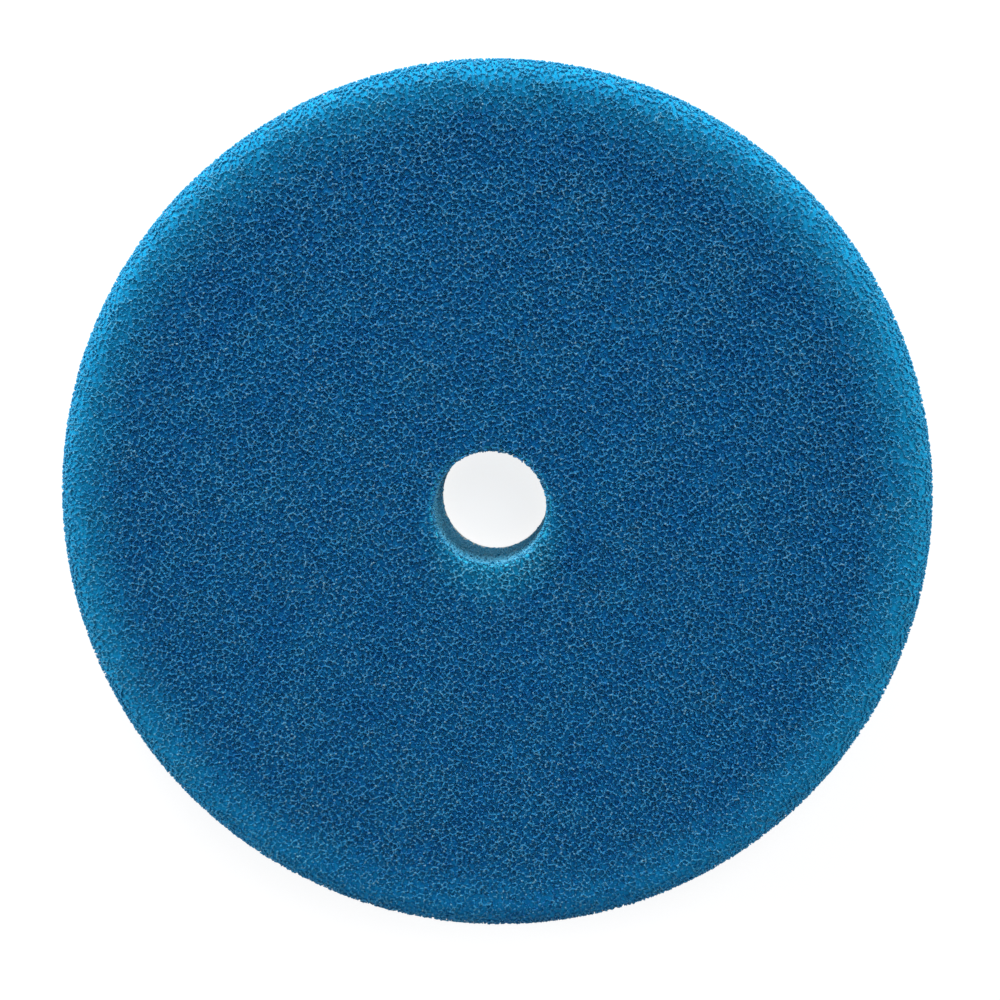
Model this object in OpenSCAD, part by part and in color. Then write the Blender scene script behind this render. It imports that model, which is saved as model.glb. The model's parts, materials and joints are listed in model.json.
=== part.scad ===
// Foam polishing pad for a random-orbit polisher.
// A tapered disc of open-cell foam on a round hook-and-loop backing, with a
// centre hole through every layer. The pad lies on its backing: the loops rest
// on Z = 0 and the working face looks up.

/* [Foam] */
// Widest diameter of the foam, at the rim of the working face
rim_d = 180; // [150:1:230]
// Height of the foam from the film to the working face
foam_h = 22; // [16:0.5:35]
// Radius of the soft corner between the working face and the tapered side
rim_r = 6; // [2:0.5:7.5]
// Radius of the small soft corner where the tapered side meets the backing
heel_r = 1.5; // [0.5:0.25:2.5]

/* [Backing] */
// Diameter of the loop cloth and of the backing plate it fits
backing_d = 150; // [110:1:180]
// Thickness of the hot-melt film that bonds the cloth to the foam
film_t = 0.4; // [0.2:0.1:1]
// Thickness of the knitted ground of the loop cloth
cloth_t = 0.8; // [0.4:0.1:1.5]
// Height of the loops that stand out of the ground
pile_t = 1.8; // [1:0.1:3]
// How far the film stays inside the edge of the cloth
film_inset = 1; // [0.5:0.25:3]
// How far the roots of the outermost loops stay inside the edge of the cloth
pile_inset = 0.6; // [0.2:0.1:2]
// How far the foam stands out past the cloth at the heel
heel_overhang = 0.8; // [0:0.1:3]

/* [Centre hole] */
// Diameter of the hole that lines the pad up on its backing plate
bore_d = 23; // [12:0.5:40]

/* [Hidden] */
$fn = 180;

// Heights of the layers, from the surface that the pad lies on upwards
cloth_z = pile_t;
film_z = cloth_z + cloth_t;
foam_z = film_z + film_t;
face_z = foam_z + foam_h;

// Centres of the two round corners of the foam's half section
heel_centre = [backing_d / 2 + heel_overhang - heel_r, foam_z + heel_r];
rim_centre = [rim_d / 2 - rim_r, face_z - rim_r];

// Lean of the tapered side from the vertical, from the line that touches both corners
corner_gap = rim_centre - heel_centre;
flare = acos((heel_r - rim_r) / norm(corner_gap)) - atan2(corner_gap.y, corner_gap.x);

// Unit vector out of the tapered side, square to it
side_out = [cos(flare), -sin(flare)];

// Half section of the foam before the centre hole is punched
module foam_section() {
    polygon([
        [0, foam_z],
        [heel_centre.x, foam_z],
        heel_centre + heel_r * side_out,
        rim_centre + rim_r * side_out,
        [rim_centre.x, face_z],
        [0, face_z]]);
    translate(heel_centre) circle(heel_r);
    translate(rim_centre) circle(rim_r);
}

// A round layer of the backing, from height z, with the centre hole in it
module layer(z, t, d) {
    difference() {
        translate([0, 0, z]) cylinder(h = t, d = d);
        punch();
    }
}

// The tool that punches the centre hole through all layers at once
module punch() {
    through = 1;
    translate([0, 0, -through]) cylinder(h = face_z + 2 * through, d = bore_d);
}

module foam_body() {
    color([0.09, 0.32, 0.5])
        difference() {
            rotate_extrude() foam_section();
            punch();
        }
}

module bond_film() {
    color([0.85, 0.84, 0.78]) layer(film_z, film_t, backing_d - 2 * film_inset);
}

module loop_cloth() {
    color([0.84, 0.85, 0.84]) layer(cloth_z, cloth_t, backing_d);
}

module loop_pile() {
    color([0.9, 0.91, 0.9]) layer(0, pile_t, backing_d - 2 * pile_inset);
}

foam_body();
bond_film();
loop_cloth();
loop_pile();
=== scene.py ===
"""Looks of a foam polishing pad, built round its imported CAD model.

The foam is modelled as open-cell foam is: a shaken crystal of seed points gives the cells of
a foam, the edges of those cells are its struts, and the pad's shape cuts through them. Only the
skin of the pad has struts. A solid core just below them stands for the rest of the foam. Lengths
are in millimetres until a mesh, a material or the stage is made, which are in metres.
"""

import itertools
import json
import math

import bpy
import numpy as np
from mathutils import Matrix, Vector


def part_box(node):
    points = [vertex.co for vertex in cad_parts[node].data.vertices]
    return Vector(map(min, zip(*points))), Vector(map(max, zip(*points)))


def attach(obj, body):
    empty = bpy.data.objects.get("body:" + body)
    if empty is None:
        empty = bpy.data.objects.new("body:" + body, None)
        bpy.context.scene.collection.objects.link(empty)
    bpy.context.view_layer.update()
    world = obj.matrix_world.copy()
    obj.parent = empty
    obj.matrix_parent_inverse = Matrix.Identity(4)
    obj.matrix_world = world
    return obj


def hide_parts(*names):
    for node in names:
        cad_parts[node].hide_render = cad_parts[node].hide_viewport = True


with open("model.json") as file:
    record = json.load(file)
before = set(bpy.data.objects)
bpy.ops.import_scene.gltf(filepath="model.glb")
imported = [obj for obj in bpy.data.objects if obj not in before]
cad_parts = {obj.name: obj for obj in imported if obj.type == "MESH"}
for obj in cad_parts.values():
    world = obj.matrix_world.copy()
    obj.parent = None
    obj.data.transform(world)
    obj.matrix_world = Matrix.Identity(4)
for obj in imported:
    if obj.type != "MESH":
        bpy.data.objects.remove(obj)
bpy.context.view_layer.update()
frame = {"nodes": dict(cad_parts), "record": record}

MM = 0.001
TAU = 2 * math.pi

# ---------------------------------------------------------------- sizes, from the frame


def node_box(node):
    """Lowest and highest corner of a CAD node, in millimetres."""
    low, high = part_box(node)
    return np.array(low) / MM, np.array(high) / MM


def mount_dims(name):
    """The sizes that the record gives for a mount."""
    return next(m for m in frame["record"]["mounts"] if m["name"] == name)["dims"]


BORE_R = mount_dims("centre_bore")["r_mm"]
FOAM_LOW, FOAM_HIGH = node_box("foam_body")
CLOTH_LOW, CLOTH_HIGH = node_box("loop_cloth")
PILE_LOW, PILE_HIGH = node_box("loop_pile")
RIM_R = FOAM_HIGH[0]
HEEL_Z, FACE_Z = FOAM_LOW[2], FOAM_HIGH[2]

# ---------------------------------------------------------------- sizes of the looks

CELL = 1.02  # cube root of a foam cell's volume
SHAKE = 0.27  # how far a seed point is off its lattice place, in cells
TILE_CELLS = 12  # lattice cells along the side of the repeating block of foam
NEIGHBOURS = 24  # nearest seeds that are tried for a cell's corners
BLOCK_MARGIN = 2.6  # how far past the block copies of its seeds go, in cells
FAR_CORNER = 1.6  # farthest that a cell's corner lies from its seed, in cells
SHORT_EDGE = 0.1  # cell edges shorter than this get no strut, in cells
SHORT_CUT = 0.05  # struts cut off shorter than this are left out
STRUT_R = 0.165  # radius of a strut
STRUT_SPREAD = 0.75, 1.3  # thinnest and thickest strut, as a share of it
KNOT_R = 0.255  # radius of the knot where struts meet
KNOT_SPREAD = 0.7, 1.25  # smallest and largest knot, as a share of it
KNOT_SKIN = 0.3  # how deep below the surface knots are modelled
SKIN = 0.8  # how deep below the surface struts are modelled
CORE_DEPTH = 0.78  # how deep below the working face the solid core lies
CORE_DEPTH_SIDE = 0.7  # how deep below the tapered side and the wall of the bore it lies
CORE_DEPTH_RIM = 0.4  # how deep it lies at the rim, where the foam looks smooth and pale
CORE_RISES_FROM = 0.83  # share of the radius where the core starts to rise towards the rim
CORE_RISEN_AT = 0.97  # share of the radius where it has risen
CORE_TOP = 5  # height below the working face over which it sinks
CORE_BASE = 0.02  # gap between the core and the back of the foam
CORE_STEP = 1.5  # distance between points along the core's profile
CORE_TURNS = 360  # points round the core
SECTORS = 28  # pieces that the struts are shared over
RIM_GLOW_FROM = 0.83  # share of the radius where the painted glow of light through the thin rim starts
RIM_GLOW_CURVE = 1.3  # how slowly that sets in for the struts
RIM_UNEVEN = 0.8  # how much less of the painted glow shows on the -Y side, which the lamps light less, than on +Y
RIM_UNEVEN_CURVE = 4  # how near the -Y side it has to be to show
LIP_TURN = math.radians(-80)  # where round the centre hole the painted glow of light through the lip is strongest
LIP_OFF = 5.5  # how far off the axis the middle of that painted glow is
LIP_MIDDLE = LIP_OFF * np.array([math.cos(LIP_TURN), math.sin(LIP_TURN)])
LIP_SHARE = 1.0  # how strong the painted glow is there, against that at the rim
LIP_NEAR, LIP_FAR = 6.0, 16.0  # distances from that middle where the painted glow is strongest and where it ends
LIP_LIFT = 0.3  # how much lighter a strut is painted at the lip, as painted glow
WALL_GLOW_WIDTH = 1.2  # thickness of the painted glow on the wall of the centre hole
WALL_LIFT = 0.6  # how much lighter a strut is painted on that wall, as painted glow
STRUT_LIFT, KNOT_GLINT = -0.03, 0.09  # how much lighter than the foam each is drawn; the knots' lift is a painted glint
DEEP_SHADE = 0.45  # how much darker the deepest strut is
PATCH_SIZES = 4, 24  # smallest and largest patch of lighter or darker foam
PATCH_WAVES = 14  # waves that add up to the patches
PATCH_TONE, PATCH_GLOW = 0.07, 0.1  # how strongly they show in tone and in the painted glow
UV_SPREAD = 0.0015  # how far a shape's corners lie apart in the map OFBake

LOOPS = 10800  # loops on the pad's back
LOOP_PIECES = 2  # pieces that they are shared over
LOOP_R = 0.15  # radius of a loop's yarn
LOOP_POINTS = 7  # points along a loop's middle line
YARN = 1.3  # pitch of the cloth's knitted ribs

# ---------------------------------------------------------------- the foam's half section


def half_section(node):
    """The convex outline of a round node's half section, as (r, z) points in order."""
    points = np.array([v.co for v in frame["nodes"][node].data.vertices]) / MM
    rz = np.round(np.stack([np.hypot(points[:, 0], points[:, 1]), points[:, 2]], 1), 2)
    rz = np.unique(rz, axis=0)
    middle = (rz.min(0) + rz.max(0)) / 2
    turn = np.arctan2(rz[:, 1] - middle[1], rz[:, 0] - middle[0])
    rz = rz[np.argsort(turn)]
    keep, changed = list(map(tuple, rz)), True
    while changed:
        changed = False
        for i in range(len(keep)):
            a, b, c = (np.array(keep[(i + k) % len(keep)]) for k in (-1, 0, 1))
            if np.cross(b - a, c - b) < 1e-6:
                keep.pop(i)
                changed = True
                break
    return np.array(keep)


def walls_of(outline):
    """Each side of an outline as (inward normal, offset): depth below it is n . p - offset."""
    after = np.roll(outline, -1, axis=0)
    along = after - outline
    inward = np.stack([-along[:, 1], along[:, 0]], 1)
    inward /= np.linalg.norm(inward, axis=1)[:, None]
    return inward, (inward * outline).sum(1)


OUTLINE = half_section("foam_body")
WALL_IN, WALL_AT = walls_of(OUTLINE)
IS_BASE = WALL_IN[:, 1] > 0.999
GRID = 0.1  # pitch of the tables of depth
GRID_PAST_RIM, GRID_PAST_FACES = 6, 4  # how far past the foam they go


def depth_tables():
    """Depth below any wall, and below the walls that show, on a grid over r and z."""
    r = np.arange(0, RIM_R + GRID_PAST_RIM, GRID)
    z = np.arange(HEEL_Z - GRID_PAST_FACES, FACE_Z + GRID_PAST_FACES, GRID)
    at = np.stack(np.meshgrid(r, z, indexing="ij"), -1)
    depth = at @ WALL_IN.T - WALL_AT
    return depth.min(-1).astype(np.float32), depth[..., ~IS_BASE].min(-1).astype(np.float32)


DEPTH, SHOWN_DEPTH = depth_tables()


def look_up(table, points):
    """A table's value at points, by straight lines between its grid places."""
    r = np.hypot(points[:, 0], points[:, 1]) / GRID
    z = (points[:, 2] - (HEEL_Z - GRID_PAST_FACES)) / GRID
    r = r.clip(0, table.shape[0] - 1.001)
    z = z.clip(0, table.shape[1] - 1.001)
    i, k = r.astype(np.int32), z.astype(np.int32)
    u, v = r - i, z - k
    return (
        table[i, k] * (1 - u) * (1 - v)
        + table[i + 1, k] * u * (1 - v)
        + table[i, k + 1] * (1 - u) * v
        + table[i + 1, k + 1] * u * v
    )


# ---------------------------------------------------------------- the foam's cells


def seed_points(rng):
    """Seeds of a repeating block of foam, with copies round it, and the block's side."""
    pitch = CELL * 2 ** (1 / 3)
    side = TILE_CELLS * pitch
    places = np.stack(np.meshgrid(*[np.arange(TILE_CELLS)] * 3, indexing="ij"), -1)
    places = places.reshape(-1, 3)
    seeds = np.concatenate([places, places + 0.5]) * pitch
    seeds = (seeds + rng.normal(0, SHAKE * CELL, seeds.shape)) % side
    margin = BLOCK_MARGIN * CELL
    shifts = np.array(list(itertools.product((-1, 0, 1), repeat=3))) * side
    copies = (seeds[None] + shifts[:, None]).reshape(-1, 3)
    near = ((copies > -margin) & (copies < side + margin)).all(1)
    return copies[near].astype(np.float32), side


def cell_corners(points):
    """The corners of the points' Voronoi cells, with the four points that meet at each."""
    triples = np.array(list(itertools.combinations(range(NEIGHBOURS), 3)))
    square = (points**2).sum(1)
    fours, corners = [], []
    batch = 400
    for start in range(0, len(points), batch):
        own = np.arange(start, min(start + batch, len(points)))
        apart = square[own, None] + square[None] - 2 * points[own] @ points.T
        near = np.argpartition(apart, NEIGHBOURS + 1, axis=1)[:, : NEIGHBOURS + 1]
        order = np.argsort(np.take_along_axis(apart, near, 1), 1)
        near = np.take_along_axis(near, order, 1)[:, 1:]
        to = points[near] - points[own, None]
        row, col = np.nonzero((near[:, triples] > own[:, None, None]).all(2))
        a, b, c = (to[row, triples[col, k]] for k in range(3))
        bc, ca, ab = np.cross(b, c), np.cross(c, a), np.cross(a, b)
        volume = (a * bc).sum(1)
        with np.errstate(divide="ignore", invalid="ignore"):
            middle = (
                (a * a).sum(1)[:, None] * bc
                + (b * b).sum(1)[:, None] * ca
                + (c * c).sum(1)[:, None] * ab
            ) / (2 * volume[:, None])
        reach = (middle * middle).sum(1)
        good = np.isfinite(reach) & (reach < (FAR_CORNER * CELL) ** 2)
        row, col, middle, reach = row[good], col[good], middle[good], reach[good]
        gap = ((to[row] - middle[:, None]) ** 2).sum(2)
        empty = (gap >= reach[:, None] * (1 - 1e-4)).all(1)
        row, col, middle = row[empty], col[empty], middle[empty]
        meeting = np.concatenate([own[row, None], near[row[:, None], triples[col]]], 1)
        fours.append(np.sort(meeting, 1))
        corners.append(middle + points[own[row]])
    return np.concatenate(fours), np.concatenate(corners)


def foam_block(rng):
    """One repeating block of foam: its struts' start and end points, its knots, its side."""
    points, side = seed_points(rng)
    fours, corners = cell_corners(points)
    sides = ((0, 1, 2), (0, 1, 3), (0, 2, 3), (1, 2, 3))
    three = np.concatenate([fours[:, s] for s in sides]).astype(np.int64)
    corner = np.tile(np.arange(len(fours)), 4)
    key = (three[:, 0] * len(points) + three[:, 1]) * len(points) + three[:, 2]
    order = np.argsort(key, kind="stable")
    key, corner = key[order], corner[order]
    twice = np.flatnonzero(key[1:] == key[:-1])
    start, end = corners[corner[twice]], corners[corner[twice + 1]]
    middle = (start + end) / 2
    inside = ((middle >= 0) & (middle < side)).all(1)
    long_enough = np.linalg.norm(end - start, axis=1) > SHORT_EDGE * CELL
    keep = inside & long_enough
    knots = corners[((corners >= 0) & (corners < side)).all(1)]
    return start[keep], end[keep], knots, side


def turned(rng):
    """A turn to no particular angle, so that the pad's faces cut the block nowhere alike."""
    matrix, _ = np.linalg.qr(rng.normal(size=(3, 3)))
    return matrix * np.sign(np.linalg.det(matrix))


def foam_of_pad(rng):
    """Every strut in the pad's skin, cut off at the pad's surface, and the knots near it."""
    start, end, knots, side = foam_block(rng)
    turn = turned(rng)
    start, end, knots = start @ turn.T, end @ turn.T, knots @ turn.T
    middle = turn @ np.full(3, side / 2)
    centre = np.array([0, 0, (HEEL_Z + FACE_Z) / 2])
    reach = side * math.sqrt(3) / 2
    count = math.ceil((RIM_R + reach) / side) + 1
    starts, ends, places = [], [], []
    for step in itertools.product(range(-count, count + 1), repeat=3):
        shift = turn @ (np.array(step) * side) + centre
        at = shift + middle
        if math.hypot(at[0], at[1]) > RIM_R + reach:
            continue
        if not HEEL_Z - reach < at[2] < FACE_Z + reach:
            continue
        a, b = start + shift, end + shift
        shown_a, shown_b = look_up(SHOWN_DEPTH, a), look_up(SHOWN_DEPTH, b)
        keep = (np.minimum(shown_a, shown_b) < SKIN) & (np.maximum(shown_a, shown_b) > 0)
        a, b = a[keep], b[keep]
        depth_a, depth_b = look_up(DEPTH, a), look_up(DEPTH, b)
        keep = np.maximum(depth_a, depth_b) > 0
        a, b, depth_a, depth_b = a[keep], b[keep], depth_a[keep], depth_b[keep]
        share = (depth_a / (depth_a - depth_b + 1e-9))[:, None]
        cut = a + (b - a) * share
        a = np.where((depth_a < 0)[:, None], cut, a)
        b = np.where((depth_b < 0)[:, None], cut, b)
        long_enough = np.linalg.norm(b - a, axis=1) > SHORT_CUT
        starts.append(a[long_enough])
        ends.append(b[long_enough])
        at = knots + shift
        at = at[look_up(DEPTH, at) > 0]
        places.append(at[look_up(SHOWN_DEPTH, at) < KNOT_SKIN])
    return np.concatenate(starts), np.concatenate(ends), np.concatenate(places)


# ---------------------------------------------------------------- meshes


def mesh_from(name, vertices, faces, material):
    """A new smooth object from points in millimetres and faces, all triangles or all quads."""
    mesh = bpy.data.meshes.new(name)
    count, corners = faces.shape
    mesh.vertices.add(len(vertices))
    mesh.vertices.foreach_set("co", (vertices * MM).astype(np.float32).ravel())
    mesh.loops.add(count * corners)
    mesh.loops.foreach_set("vertex_index", faces.astype(np.int32).ravel())
    mesh.polygons.add(count)
    starts = np.arange(count, dtype=np.int32) * corners
    mesh.polygons.foreach_set("loop_start", starts)
    mesh.update(calc_edges=True)
    mesh.polygons.foreach_set("use_smooth", np.full(count, True))
    obj = bpy.data.objects.new(name, mesh)
    bpy.context.scene.collection.objects.link(obj)
    mesh.materials.append(material)
    return obj


PRISM = np.array(
    [[0, 1, 4], [0, 4, 3], [1, 2, 5], [1, 5, 4], [2, 0, 3], [2, 3, 5], [0, 2, 1], [3, 4, 5]]
)
OCTAHEDRON = np.array(
    [[0, 2, 4], [2, 1, 4], [1, 3, 4], [3, 0, 4], [2, 0, 5], [1, 2, 5], [3, 1, 5], [0, 3, 5]]
)


def strut_bars(start, end, rng):
    """The six corners of a three-sided bar for each strut."""
    count = len(start)
    along = end - start
    along /= np.linalg.norm(along, axis=1)[:, None]
    helper = np.where(np.abs(along[:, 2:]) < 0.9, [[0.0, 0.0, 1.0]], [[1.0, 0.0, 0.0]])
    u = np.cross(along, helper)
    u /= np.linalg.norm(u, axis=1)[:, None]
    v = np.cross(along, u)
    roll = rng.uniform(0, TAU, count)
    radius = STRUT_R * rng.uniform(*STRUT_SPREAD, count)
    rings = []
    for point in (start, end):
        for k in range(3):
            angle = roll + TAU * k / 3
            out = np.cos(angle)[:, None] * u + np.sin(angle)[:, None] * v
            rings.append(point + out * radius[:, None])
    return np.stack(rings, 1)


def knot_balls(at, rng):
    """The six corners of a small eight-sided ball for each knot."""
    turn = turned(rng)
    radius = KNOT_R * rng.uniform(*KNOT_SPREAD, (len(at), 3))
    out = [sign * radius[:, k, None] * turn[k] for k in range(3) for sign in (1, -1)]
    return at[:, None] + np.stack(out, 1)


def foam_piece(name, bars, balls, tone, material):
    """Closed bars and balls in one mesh, each with its tone in the map OFBake."""
    shapes = (PRISM[None], bars), (OCTAHEDRON[None], balls)
    faces = np.concatenate([np.repeat(faces, len(six), 0) for faces, six in shapes])
    faces = (faces + 6 * np.arange(len(faces))[:, None, None]).reshape(-1, 3)
    vertices = np.concatenate([bars, balls]).reshape(-1, 3)
    obj = mesh_from(name, vertices, faces, material)
    spread = UV_SPREAD * np.array([[0, 0], [1, 0], [0, 1], [1.6, 1.6], [0.4, 1.6], [1.6, 0.4]])
    uv = (tone[:, None, :] + spread[None]).reshape(-1, 2)
    layer = obj.data.uv_layers.new(name="OFBake", do_init=False)
    layer.uv.foreach_set("vector", uv[faces.ravel()].astype(np.float32).ravel())
    return obj


def clipped(outline, depths):
    """An outline drawn in by a depth of its own at each side."""
    kept = [np.array(p) for p in outline]
    for inward, offset, depth in zip(WALL_IN, WALL_AT, depths):
        heights = [float(inward @ p - offset - depth) for p in kept]
        result = []
        for i, (p, h) in enumerate(zip(kept, heights)):
            q, g = kept[(i + 1) % len(kept)], heights[(i + 1) % len(kept)]
            if h >= 0:
                result.append(p)
            if (h < 0) != (g < 0):
                result.append(p + (q - p) * h / (h - g))
        kept = result
    return np.array(kept)


def resampled(outline, step):
    """Points about a step apart along a closed outline."""
    points = []
    for a, b in zip(outline, np.roll(outline, -1, axis=0)):
        pieces = max(1, round(float(np.linalg.norm(b - a)) / step))
        points += [a + (b - a) * k / pieces for k in range(pieces)]
    return np.array(points)


def revolved(profile, turns):
    """Points and quads of a closed profile turned about Z."""
    angle = TAU * np.arange(turns) / turns
    x = profile[None, :, 0] * np.cos(angle)[:, None]
    y = profile[None, :, 0] * np.sin(angle)[:, None]
    z = np.broadcast_to(profile[None, :, 1], x.shape)
    vertices = np.stack([x, y, z], -1).reshape(-1, 3)
    n = len(profile)
    i, k = np.meshgrid(np.arange(turns), np.arange(n), indexing="ij")
    after_i, after_k = (i + 1) % turns, (k + 1) % n
    faces = np.stack([i * n + k, after_i * n + k, after_i * n + after_k, i * n + after_k], -1)
    return vertices, faces.reshape(-1, 4)


# ---------------------------------------------------------------- materials


def new_material(name):
    """A new material, with its nodes, its links and its shader."""
    material = bpy.data.materials.new(name)
    material.use_nodes = True
    nodes = material.node_tree.nodes
    return material, nodes, material.node_tree.links, nodes["Principled BSDF"]


def ramp(nodes, stops, interpolation="EASE"):
    """A colour ramp with a (place, colour) for each stop."""
    node = nodes.new("ShaderNodeValToRGB")
    node.color_ramp.interpolation = interpolation
    elements = node.color_ramp.elements
    while len(elements) < len(stops):
        elements.new(0.5)
    for element, (place, colour) in zip(elements, stops):
        element.position = place
        element.color = (*colour, 1)
    return node


def strut_material():
    """Blue polyurethane. The map's U is the share of painted glow, its V a strut's tone with
    painted shade and glints.
    """
    material, nodes, links, shader = new_material("foam_strut")
    where = nodes.new("ShaderNodeUVMap")
    where.uv_map = "OFBake"
    split = nodes.new("ShaderNodeSeparateXYZ")
    links.new(where.outputs["UV"], split.inputs[0])
    # the palest tones are greyer, as painted glints
    body = ramp(nodes, [
        (0.0, (0.003, 0.115, 0.350)),
        (0.4, (0.013, 0.170, 0.360)),
        (1.0, (0.135, 0.265, 0.345)),
    ])
    links.new(split.outputs["Y"], body.inputs["Fac"])
    # paler cyan colours of the painted glow
    rim = ramp(nodes, [
        (0.0, (0.009, 0.290, 0.530)),
        (0.4, (0.022, 0.325, 0.555)),
        (1.0, (0.095, 0.410, 0.610)),
    ])
    links.new(split.outputs["Y"], rim.inputs["Fac"])
    mix = nodes.new("ShaderNodeMix")
    mix.data_type = "RGBA"
    links.new(split.outputs["X"], mix.inputs["Factor"])
    links.new(body.outputs["Color"], mix.inputs["A"])
    links.new(rim.outputs["Color"], mix.inputs["B"])
    links.new(mix.outputs["Result"], shader.inputs["Base Color"])
    shader.inputs["Roughness"].default_value = 0.5
    shader.inputs["Specular IOR Level"].default_value = 0.16
    return material


def fade(nodes, links, where, middle, first, last):
    """A value that runs with distance from an upright axis: (distance, value) at each end."""
    away = nodes.new("ShaderNodeVectorMath")
    away.operation = "MULTIPLY_ADD"
    away.inputs[1].default_value = (1, 1, 0)
    away.inputs[2].default_value = (-middle[0], -middle[1], 0)
    links.new(where.outputs["Object"], away.inputs[0])
    distance = nodes.new("ShaderNodeVectorMath")
    distance.operation = "LENGTH"
    links.new(away.outputs["Vector"], distance.inputs[0])
    value = nodes.new("ShaderNodeMapRange")
    value.inputs["From Min"].default_value, value.inputs["To Min"].default_value = first
    value.inputs["From Max"].default_value, value.inputs["To Max"].default_value = last
    links.new(distance.outputs["Value"], value.inputs["Value"])
    return value


def larger(nodes, links, first, second):
    """The larger of two faded values."""
    node = nodes.new("ShaderNodeMath")
    node.operation = "MAXIMUM"
    links.new(first.outputs["Result"], node.inputs[0])
    links.new(second.outputs["Result"], node.inputs[1])
    return node.outputs["Value"]


def core_material():
    """The foam below the modelled struts: a deep blue net with painted shade in its pores, and
    painted glow near the rim and the hole.
    """
    material, nodes, links, shader = new_material("foam_core")
    where = nodes.new("ShaderNodeTexCoord")
    cells = nodes.new("ShaderNodeTexVoronoi")
    cells.feature = "DISTANCE_TO_EDGE"
    cells.inputs["Scale"].default_value = 1 / (CELL * MM)
    links.new(where.outputs["Object"], cells.inputs["Vector"])
    # pores darker toward their middles: painted shade in them
    body = ramp(nodes, [
        (0.0, (0.006, 0.210, 0.500)),
        (0.22, (0.002, 0.130, 0.390)),
        (0.6, (0.001, 0.090, 0.310)),
    ])
    rim = ramp(nodes, [
        (0.0, (0.008, 0.335, 0.590)),
        (0.22, (0.005, 0.305, 0.555)),
        (0.6, (0.003, 0.275, 0.520)),
    ])
    links.new(cells.outputs["Distance"], body.inputs["Fac"])
    links.new(cells.outputs["Distance"], rim.inputs["Fac"])
    # painted glow of light through the thin rim, weaker on the -Y side, which the lamps light
    # less
    rim_r = RIM_R * MM
    rim_glow_share = fade(nodes, links, where, (0, 0), (RIM_GLOW_FROM * rim_r, 0), (rim_r, 1))
    split = nodes.new("ShaderNodeSeparateXYZ")
    links.new(where.outputs["Object"], split.inputs[0])
    low_side = nodes.new("ShaderNodeMapRange")
    low_side.inputs["From Min"].default_value = rim_r
    low_side.inputs["From Max"].default_value = -rim_r
    links.new(split.outputs["Y"], low_side.inputs["Value"])
    steep = nodes.new("ShaderNodeMath")
    steep.operation = "POWER"
    links.new(low_side.outputs["Result"], steep.inputs[0])
    steep.inputs[1].default_value = RIM_UNEVEN_CURVE
    uneven = nodes.new("ShaderNodeMath")
    uneven.operation = "MULTIPLY_ADD"
    links.new(steep.outputs["Value"], uneven.inputs[0])
    uneven.inputs[1].default_value = -RIM_UNEVEN
    uneven.inputs[2].default_value = 1
    links.new(uneven.outputs["Value"], rim_glow_share.inputs["To Max"])
    # painted glow at the lip of the centre hole, strongest on its -Y side
    middle = tuple(LIP_MIDDLE * MM)
    lip_glow_share = fade(
        nodes, links, where, middle, (LIP_NEAR * MM, LIP_SHARE), (LIP_FAR * MM, 0)
    )
    # painted glow on the wall of the centre hole
    wall = ((BORE_R + CORE_DEPTH_SIDE) * MM, 1), ((BORE_R + WALL_GLOW_WIDTH) * MM, 0)
    wall_glow_share = fade(nodes, links, where, (0, 0), *wall)
    # the stronger of the painted rim glow and the painted lip glow
    thin = larger(nodes, links, rim_glow_share, lip_glow_share)
    mix = nodes.new("ShaderNodeMix")
    mix.data_type = "RGBA"
    links.new(thin, mix.inputs["Factor"])
    links.new(body.outputs["Color"], mix.inputs["A"])
    links.new(rim.outputs["Color"], mix.inputs["B"])
    # the wall's painted glow, in pale cyan
    glow_lift = nodes.new("ShaderNodeMix")
    glow_lift.data_type = "RGBA"
    links.new(wall_glow_share.outputs["Result"], glow_lift.inputs["Factor"])
    links.new(mix.outputs["Result"], glow_lift.inputs["A"])
    glow_lift.inputs["B"].default_value = (0.05, 0.62, 0.88, 1)
    links.new(glow_lift.outputs["Result"], shader.inputs["Base Color"])
    shader.inputs["Roughness"].default_value = 0.9
    shader.inputs["Specular IOR Level"].default_value = 0.1
    return material


def film_material():
    """Hot-melt film: cream, matt, cloudy, with a fine orange-peel surface."""
    material, nodes, links, shader = new_material("bond_film")
    where = nodes.new("ShaderNodeTexCoord")
    cloud = nodes.new("ShaderNodeTexNoise")
    cloud.inputs["Scale"].default_value = 260
    cloud.inputs["Detail"].default_value = 4
    links.new(where.outputs["Object"], cloud.inputs["Vector"])
    tone = ramp(nodes, [(0.3, (0.70, 0.69, 0.62)), (0.7, (0.84, 0.83, 0.78))], "LINEAR")
    links.new(cloud.outputs["Fac"], tone.inputs["Fac"])
    links.new(tone.outputs["Color"], shader.inputs["Base Color"])
    peel = nodes.new("ShaderNodeTexNoise")
    peel.inputs["Scale"].default_value = 2200
    links.new(where.outputs["Object"], peel.inputs["Vector"])
    bump = nodes.new("ShaderNodeBump")
    bump.inputs["Strength"].default_value = 0.3
    bump.inputs["Distance"].default_value = 0.05 * MM
    links.new(peel.outputs["Fac"], bump.inputs["Height"])
    links.new(bump.outputs["Normal"], shader.inputs["Normal"])
    shader.inputs["Roughness"].default_value = 0.5
    return material


def wave(nodes, links, where, direction, pitch):
    """Even ribs along X or Y, with a pitch in millimetres."""
    node = nodes.new("ShaderNodeTexWave")
    node.wave_type = "BANDS"
    node.bands_direction = direction
    node.wave_profile = "SIN"
    node.inputs["Scale"].default_value = TAU / (20 * pitch * MM)
    node.inputs["Distortion"].default_value = 0.6
    node.inputs["Detail"].default_value = 1
    node.inputs["Detail Scale"].default_value = 2
    links.new(where.outputs["Object"], node.inputs["Vector"])
    return node


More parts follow.
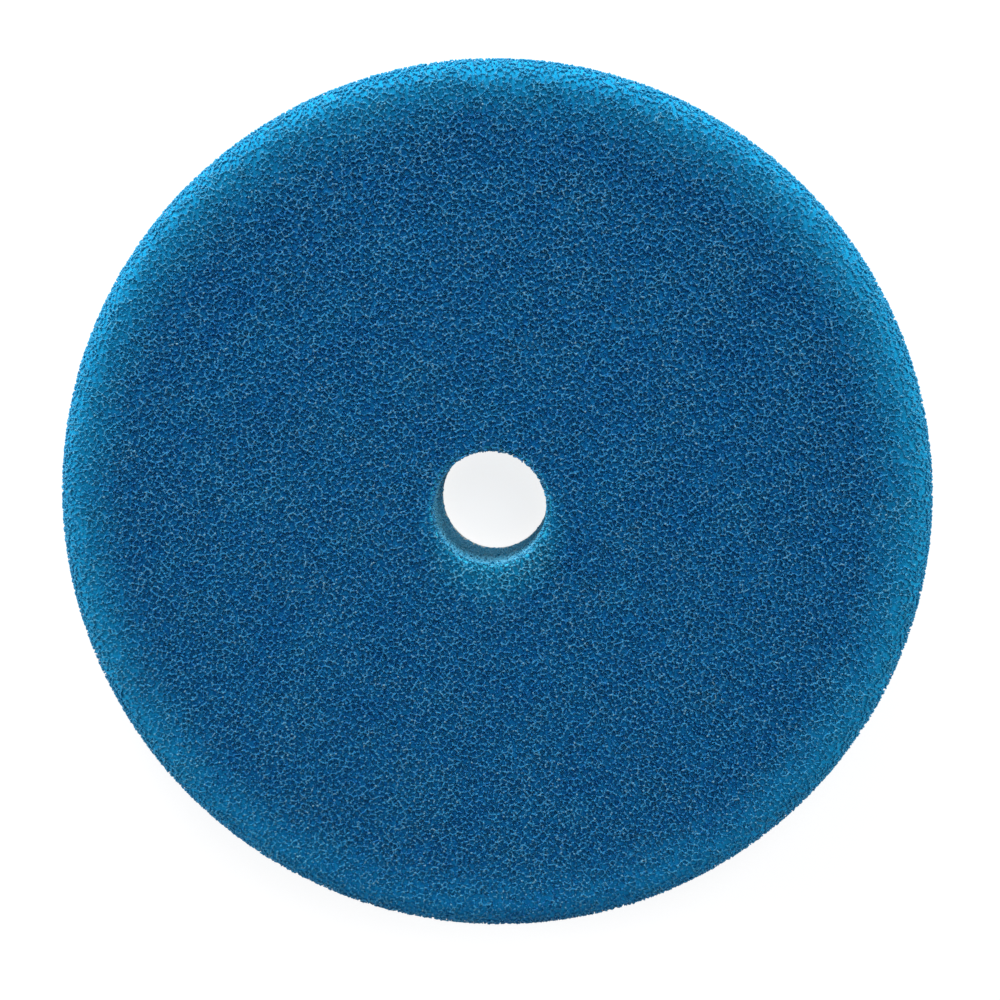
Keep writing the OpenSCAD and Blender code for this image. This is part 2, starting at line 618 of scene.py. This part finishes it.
def cloth_material():
    """A warp-knit ground: ribs one way, the rows of stitches across them."""
    material, nodes, links, shader = new_material("knit_ground")
    where = nodes.new("ShaderNodeTexCoord")
    ribs = wave(nodes, links, where, "X", YARN)
    rows = wave(nodes, links, where, "Y", 0.7 * YARN)
    both = nodes.new("ShaderNodeMath")
    both.operation = "MULTIPLY_ADD"
    links.new(ribs.outputs["Fac"], both.inputs[0])
    links.new(rows.outputs["Fac"], both.inputs[1])
    both.inputs[2].default_value = 0.1
    tone = ramp(nodes, [
        (0.0, (0.42, 0.43, 0.43)), (0.4, (0.64, 0.65, 0.65)), (1.0, (0.80, 0.81, 0.80))
    ])
    links.new(both.outputs["Value"], tone.inputs["Fac"])
    links.new(tone.outputs["Color"], shader.inputs["Base Color"])
    bump = nodes.new("ShaderNodeBump")
    bump.inputs["Strength"].default_value = 0.8
    bump.inputs["Distance"].default_value = 0.25 * MM
    links.new(both.outputs["Value"], bump.inputs["Height"])
    links.new(bump.outputs["Normal"], shader.inputs["Normal"])
    shader.inputs["Roughness"].default_value = 0.85
    shader.inputs["Sheen Weight"].default_value = 0.3
    shader.inputs["Sheen Roughness"].default_value = 0.5
    return material


def loop_material():
    """Crimped nylon, off-white. The map's V is a loop's own tone."""
    material, nodes, links, shader = new_material("nylon_loop")
    where = nodes.new("ShaderNodeUVMap")
    where.uv_map = "OFBake"
    split = nodes.new("ShaderNodeSeparateXYZ")
    links.new(where.outputs["UV"], split.inputs[0])
    tone = ramp(nodes, [
        (0.0, (0.60, 0.61, 0.60)), (0.5, (0.78, 0.79, 0.78)), (1.0, (0.90, 0.90, 0.88))
    ])
    links.new(split.outputs["Y"], tone.inputs["Fac"])
    links.new(tone.outputs["Color"], shader.inputs["Base Color"])
    shader.inputs["Roughness"].default_value = 0.45
    shader.inputs["Sheen Weight"].default_value = 0.25
    shader.inputs["Sheen Roughness"].default_value = 0.4
    return material


# ---------------------------------------------------------------- the foam

rng = np.random.default_rng(7)


def painted_glow(points):
    """The share of painted glow of light through thin foam, 0 to 1, and how much lighter it
    paints the struts.
    """
    share = np.hypot(points[:, 0], points[:, 1]) / RIM_R
    rim = ((share - RIM_GLOW_FROM) / (1 - RIM_GLOW_FROM)).clip(0, 1) ** RIM_GLOW_CURVE
    # the painted rim glow is weaker on the -Y side, which the lamps light less
    rim *= 1 - RIM_UNEVEN * (0.5 - 0.5 * points[:, 1] / RIM_R) ** RIM_UNEVEN_CURVE
    # painted glow at the lip of the centre hole, strongest on its -Y side
    away = np.hypot(points[:, 0] - LIP_MIDDLE[0], points[:, 1] - LIP_MIDDLE[1])
    lip = LIP_SHARE * ((LIP_FAR - away) / (LIP_FAR - LIP_NEAR)).clip(0, 1)
    # struts on the wall of the centre hole get the full painted glow
    wall = (share * RIM_R < BORE_R + WALL_GLOW_WIDTH) & (points[:, 2] < FACE_Z - 1)
    lift = np.maximum(LIP_LIFT * lip, WALL_LIFT * wall)
    return np.maximum(np.maximum(rim, lip), wall), lift


def patchiness(points):
    """Soft light and dark patches, about -1 to 1."""
    total = np.zeros(len(points))
    for _ in range(PATCH_WAVES):
        way = rng.normal(size=3)
        way *= TAU / rng.uniform(*PATCH_SIZES) / np.linalg.norm(way)
        total += np.sin(points @ way + rng.uniform(0, TAU))
    return total / math.sqrt(PATCH_WAVES)


def foam_tone(points, lift):
    """For each strut or knot, its share of painted glow, and its tone with painted shade and
    glints in it.
    """
    depth = look_up(SHOWN_DEPTH, points).clip(0, SKIN)
    # painted shade: the deeper a strut or knot lies, the darker it is drawn
    own = rng.beta(2.0, 3.2, len(points)) * (1 - DEEP_SHADE * depth / SKIN)
    # the share of painted glow here, and how much lighter that glow paints the struts
    thin, glow_lift = painted_glow(points)
    # knots are drawn lighter here as painted glints, and the glow's lift is painted light
    own = own + lift + glow_lift + PATCH_TONE * patchiness(points)
    thin = thin + PATCH_GLOW * patchiness(points)
    return 0.02 + 0.94 * np.stack([thin, own], 1).clip(0, 1)


def sector_of(points):
    """The number of the sector of the pad that each point is in."""
    return ((np.arctan2(points[:, 1], points[:, 0]) / TAU % 1) * SECTORS).astype(int)


def make_struts():
    """All the foam's struts and knots, shared over sectors of the pad."""
    start, end, knots = foam_of_pad(rng)
    middle = (start + end) / 2
    # knots are drawn lighter than struts: painted glints
    strut_tone, knot_tone = foam_tone(middle, STRUT_LIFT), foam_tone(knots, KNOT_GLINT)
    strut_sector, knot_sector = sector_of(middle), sector_of(knots)
    material = strut_material()
    for k in range(SECTORS):
        bars, balls = strut_sector == k, knot_sector == k
        piece = foam_piece(
            f"foam_cells_{k + 1:02d}",
            strut_bars(start[bars], end[bars], rng),
            knot_balls(knots[balls], rng),
            np.concatenate([strut_tone[bars], knot_tone[balls]]),
            material,
        )
        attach(piece, "root")
        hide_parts("foam_body")


def make_core():
    """The solid foam below the struts, nearer the surface at the rim than at the face."""
    upper = np.exp(-((WALL_IN[:, 1].clip(0, None) / 0.35) ** 2)) * (WALL_IN[:, 0] < 0.5)
    depths = CORE_DEPTH_SIDE - (CORE_DEPTH_SIDE - CORE_DEPTH_RIM) * upper
    depths[IS_BASE] = CORE_BASE
    profile = resampled(clipped(OUTLINE, depths), CORE_STEP)
    rise = CORE_RISEN_AT - CORE_RISES_FROM
    at_rim = ((profile[:, 0] / RIM_R - CORE_RISES_FROM) / rise).clip(0, 1)
    at_top = ((profile[:, 1] - (FACE_Z - CORE_TOP)) / CORE_TOP).clip(0, 1)
    sink = (CORE_DEPTH - CORE_DEPTH_RIM) * (1 - at_rim) * np.sqrt(at_top)
    profile[:, 1] -= sink
    vertices, faces = revolved(profile, CORE_TURNS)
    core = mesh_from("foam_core", vertices, faces[:, ::-1], core_material())
    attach(core, "root")
    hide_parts("foam_body")


make_struts()
make_core()

# ---------------------------------------------------------------- the backing


def make_cloth():
    """The knitted ground: a thin bored disc with a soft, slightly uneven cut edge."""
    inner, outer = BORE_R + 0.1, CLOTH_HIGH[0] - 0.15
    low, high = CLOTH_LOW[2] + 0.02, CLOTH_HIGH[2] - 0.02
    soft = 0.25
    profile = np.array([
        (inner + soft, low), (outer - soft, low), (outer, low + soft), (outer, high - soft),
        (outer - soft, high), (inner + soft, high), (inner, high - soft), (inner, low + soft),
    ])
    turns = 720
    vertices, faces = revolved(resampled(profile, 1.6), turns)
    angle = np.arctan2(vertices[:, 1], vertices[:, 0])
    radius = np.hypot(vertices[:, 0], vertices[:, 1])
    wobble = sum(
        np.sin(angle * waves + rng.uniform(0, TAU)) for waves in (17, 41, 97, 173, 239)
    )
    edge = ((radius - outer + 2) / 2).clip(0, 1)
    vertices[:, :2] *= (1 + 0.028 * wobble * edge / radius)[:, None]
    cloth = mesh_from("knit_ground", vertices, faces[:, ::-1], cloth_material())
    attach(cloth, "root")
    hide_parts("loop_cloth")
    return cloth, math.pi * (outer**2 - inner**2) * MM**2


def loop_paths(count):
    """Each loop's middle line: an arch that leans and twists, with its roots in the cloth."""
    inner, outer = BORE_R + 0.9, PILE_HIGH[0] - 0.7
    turn = rng.uniform(0, TAU, count)
    share = (np.arange(count) + rng.uniform(0, 1, count)) / count
    at = np.sqrt(inner**2 + (outer**2 - inner**2) * share)
    root = np.stack([at * np.cos(turn), at * np.sin(turn)], 1)
    facing = rng.uniform(0, TAU, count)
    along = np.stack([np.cos(facing), np.sin(facing)], 1)
    across = np.stack([-along[:, 1], along[:, 0]], 1)
    width = rng.uniform(0.45, 0.7, count)
    height = (PILE_HIGH[2] - PILE_LOW[2] - LOOP_R - 0.03) * rng.uniform(0.72, 1.0, count)
    lean = rng.normal(0, 0.35, count)
    paths = []
    for step in np.linspace(0, math.pi, LOOP_POINTS):
        rise = math.sin(step) ** 0.8
        flat = root + along * (width * math.cos(step) * (1 + 0.35 * rise))[:, None]
        flat = flat + across * (lean * rise + 0.12 * math.cos(step))[:, None]
        z = PILE_HIGH[2] + 0.15 - (height + 0.15) * rise
        paths.append(np.column_stack([flat, z]))
    return np.stack(paths, 1)


def make_loops():
    """Every loop as a three-sided tube along its middle line."""
    material = loop_material()
    paths = loop_paths(LOOPS)
    along = np.gradient(paths, axis=1)
    along /= np.linalg.norm(along, axis=2)[..., None]
    side = np.cross(along, np.array([0.0, 0.0, 1.0]))
    side /= np.linalg.norm(side, axis=2)[..., None] + 1e-9
    other = np.cross(side, along)
    rings = []
    for k in range(3):
        out = math.cos(TAU * k / 3) * side + math.sin(TAU * k / 3) * other
        rings.append(paths + LOOP_R * out)
    vertices = np.stack(rings, 2)
    count, steps = paths.shape[:2]
    i, k = np.meshgrid(np.arange(steps - 1), np.arange(3), indexing="ij")
    after = (k + 1) % 3
    quads = np.stack([i * 3 + k, i * 3 + after, (i + 1) * 3 + after, (i + 1) * 3 + k], -1)
    quads = quads.reshape(-1, 4)
    own = 0.05 + 0.9 * rng.uniform(0, 1, count)
    corner = UV_SPREAD * np.array([[0, 0], [1, 0], [1, 1], [0, 1]])
    for piece in range(LOOP_PIECES):
        mine = np.arange(piece, count, LOOP_PIECES)
        points = vertices[mine].reshape(-1, 3)
        faces = (quads[None] + steps * 3 * np.arange(len(mine))[:, None, None]).reshape(-1, 4)
        loops = mesh_from(f"loop_pile_{piece + 1}", points, faces, material)
        start = np.column_stack([np.full(len(mine), 0.5), own[mine]])
        uv = start[:, None, None, :] + corner[None, None]
        uv = np.broadcast_to(uv, (len(mine), len(quads), 4, 2))
        layer = loops.data.uv_layers.new(name="OFBake", do_init=False)
        layer.uv.foreach_set("vector", uv.astype(np.float32).ravel())
        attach(loops, "root")
        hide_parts("loop_pile")


def dress(node, material):
    """Gives a CAD node that is kept its own material."""
    mesh = frame["nodes"][node].data
    mesh.materials.clear()
    mesh.materials.append(material)


make_loops()
cloth, cloth_area = make_cloth()
dress("bond_film", film_material())

# ---------------------------------------------------------------- the stage


def make_floor():
    """A round pale floor that sweeps up into a low wall, so that no horizon shows."""
    flat_r, sweep_r, wall_top = 2.4, 0.5, 0.95
    sweep = [
        (flat_r + sweep_r * math.sin(t), sweep_r - sweep_r * math.cos(t))
        for t in np.linspace(0, math.pi / 2, 9)
    ]
    profile = [*sweep, (flat_r + sweep_r, wall_top)]
    turns = 96
    vertices = [
        (r * math.cos(TAU * i / turns), r * math.sin(TAU * i / turns), z)
        for r, z in profile for i in range(turns)
    ]
    faces = [list(range(turns))]
    for ring in range(len(profile) - 1):
        for i in range(turns):
            j = (i + 1) % turns
            low, high = ring * turns, (ring + 1) * turns
            faces.append([low + j, low + i, high + i, high + j])
    mesh = bpy.data.meshes.new("floor")
    mesh.from_pydata(vertices, [], faces)
    mesh.polygons.foreach_set("use_smooth", [k > 0 for k in range(len(faces))])
    floor = bpy.data.objects.new("floor", mesh)
    bpy.context.scene.collection.objects.link(floor)
    material, _, _, shader = new_material("floor_paper")
    shader.inputs["Base Color"].default_value = (0.28, 0.28, 0.28, 1)
    shader.inputs["Roughness"].default_value = 0.9
    shader.inputs["Emission Color"].default_value = (1, 1, 1, 1)
    shader.inputs["Emission Strength"].default_value = 0.82
    mesh.materials.append(material)


def aim(obj, target, up=(0, 0, 1)):
    """Turns a lamp or camera so that it looks at a point with up upwards in its view."""
    back = (obj.location - Vector(target)).normalized()
    right = Vector(up).cross(back).normalized()
    axes = Matrix((right, back.cross(right), back)).transposed()
    obj.matrix_world = Matrix.Translation(obj.location) @ axes.to_4x4()


def lamp(name, place, size, power):
    """A round soft lamp that looks at the pad."""
    data = bpy.data.lights.new(name, "AREA")
    data.shape = "DISK"
    data.size = size
    data.energy = power
    obj = bpy.data.objects.new(name, data)
    bpy.context.scene.collection.objects.link(obj)
    obj.location = Vector(place)
    aim(obj, (0, 0, 0.02), (0, 1, 0.1))


def make_lights():
    """Bright even surroundings, a lamp above and low lamps that light the rim."""
    world = bpy.data.worlds.new("studio")
    bpy.context.scene.world = world
    world.use_nodes = True
    world.node_tree.nodes["Background"].inputs["Color"].default_value = (1, 1, 1, 1)
    world.node_tree.nodes["Background"].inputs["Strength"].default_value = 0.26
    lamp("overhead", (0.2, 0.45, 0.87), 0.4, 2.7)
    lamp("top_edge", (-0.12, 1.0, 0.26), 0.5, 13.5)
    lamp("left_edge", (-1.0, 0.12, 0.26), 0.5, 7.0)
    lamp("right_edge", (1.0, 0.12, 0.26), 0.5, 4.2)
    bpy.context.scene.view_settings.view_transform = "Standard"


def make_camera():
    """The photo's camera: nearly straight above, leaning a little to +X and +Y."""
    data = bpy.data.cameras.new("camera")
    camera = bpy.data.objects.new("camera", data)
    bpy.context.scene.collection.objects.link(camera)
    bpy.context.scene.camera = camera
    tilt, around, distance = math.radians(7.5), math.radians(66.5), 0.32
    target = Vector((2.05 * MM, 1.66 * MM, FACE_Z * MM))
    camera.location = target + distance * Vector(
        (math.sin(tilt) * math.cos(around), math.sin(tilt) * math.sin(around), math.cos(tilt))
    )
    aim(camera, target, (0, 1, 0))
    data.sensor_width = 36
    data.lens = 56.7
    data.clip_start, data.clip_end = 0.01, 20


make_floor()
make_lights()
make_camera()
